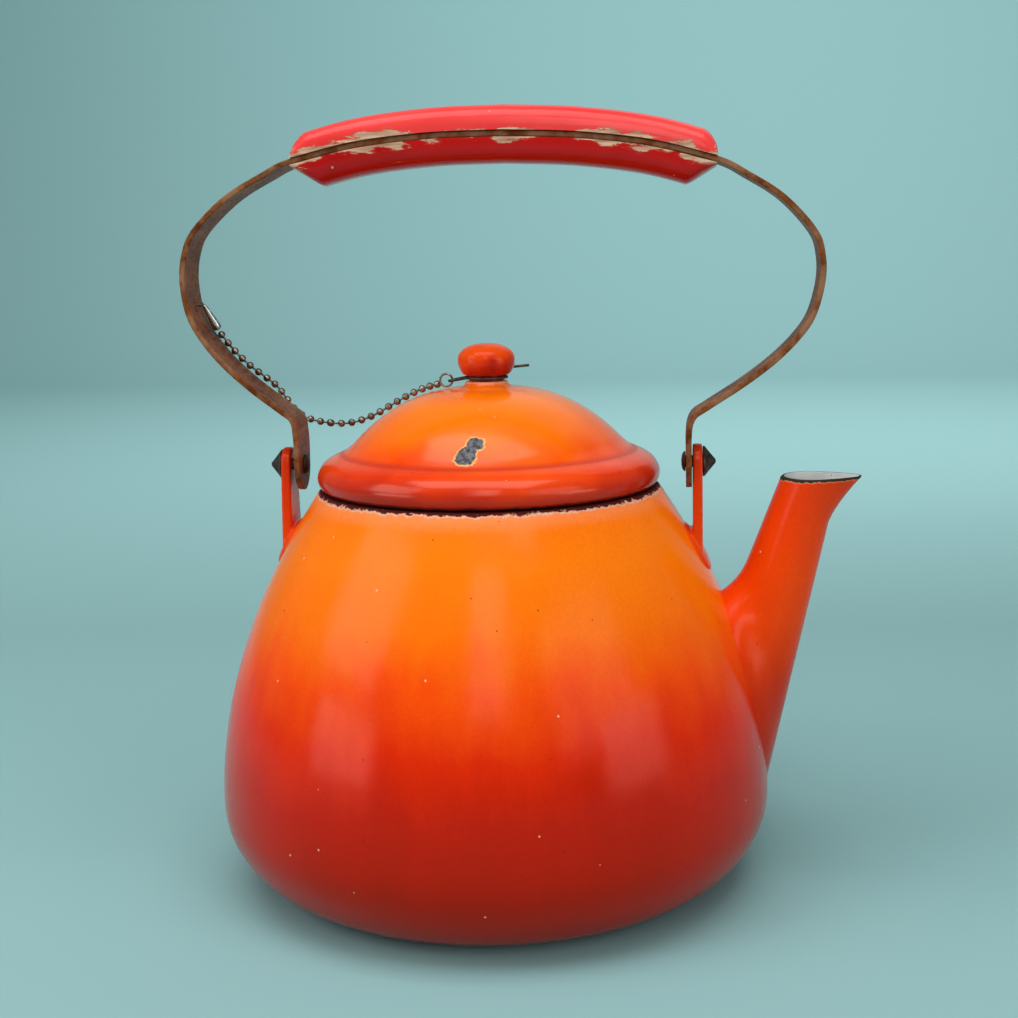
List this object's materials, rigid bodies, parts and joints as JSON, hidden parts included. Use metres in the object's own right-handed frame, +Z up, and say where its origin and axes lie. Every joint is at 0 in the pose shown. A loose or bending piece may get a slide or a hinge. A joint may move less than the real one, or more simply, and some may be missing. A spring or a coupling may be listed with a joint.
{
  "type": "enamelled kettle",
  "caption": "Squat enamelled stovetop kettle with a beaked spout, lift-off domed lid kept on a bead chain, and a swinging bail handle with a painted wooden grip.",
  "frame": {"origin": "centre of the flat base, on the table", "axes": "+Z up along the body's axis; +X towards the spout; the bail's pivot axis runs along X"},
  "size_m": [0.2361, 0.196, 0.2722],
  "materials": {
    "body_enamel": "gloss enamel on sheet steel, shading from orange to red",
    "spout_enamel": "gloss enamel on sheet steel",
    "lid_enamel": "gloss enamel on sheet steel",
    "knob_enamel": "gloss enamel",
    "grip_wood": "gloss paint, chipped along its edges",
    "strap_steel": "rusted and worn",
    "dark_steel": "dark, dull",
    "plated_steel": "tarnished plating",
    "chain_steel": "tarnished plating"
  },
  "bodies": {
    "kettle": {"kettle_body": "body_enamel", "spout": "spout_enamel", "rear_ear": "body_enamel", "spout_ear": "body_enamel", "rear_ear_rivet": "dark_steel", "spout_ear_rivet": "dark_steel"},
    "bail": {"bail_strap": "strap_steel", "grip_upper": "grip_wood", "grip_lower": "grip_wood", "rear_grip_screw": "dark_steel", "spout_grip_screw": "dark_steel", "chain_hook": "plated_steel", "bead_chain_bail": "chain_steel"},
    "lid": {"lid_shell": "lid_enamel", "lid_collar": "lid_enamel", "lid_knob": "knob_enamel", "knob_screw": "plated_steel", "knob_washer": "plated_steel", "chain_wire": "plated_steel", "chain_ring": "plated_steel", "bead_chain_lid": "chain_steel"}
  },
  "joints": [
    {"name": "bail_swing", "type": "hinge", "parent": "kettle", "child": "bail", "pos_m": [0, 0, 0.149], "axis": [1, 0, 0], "range_deg": [-105, 105], "deforming": ["bead_chain_bail"]},
    {"name": "lid_lift", "type": "slide", "parent": "kettle", "child": "lid", "axis": [0, 0, 1], "range_m": [0, 0.045], "deforming": ["bead_chain_lid"]}
  ]
}
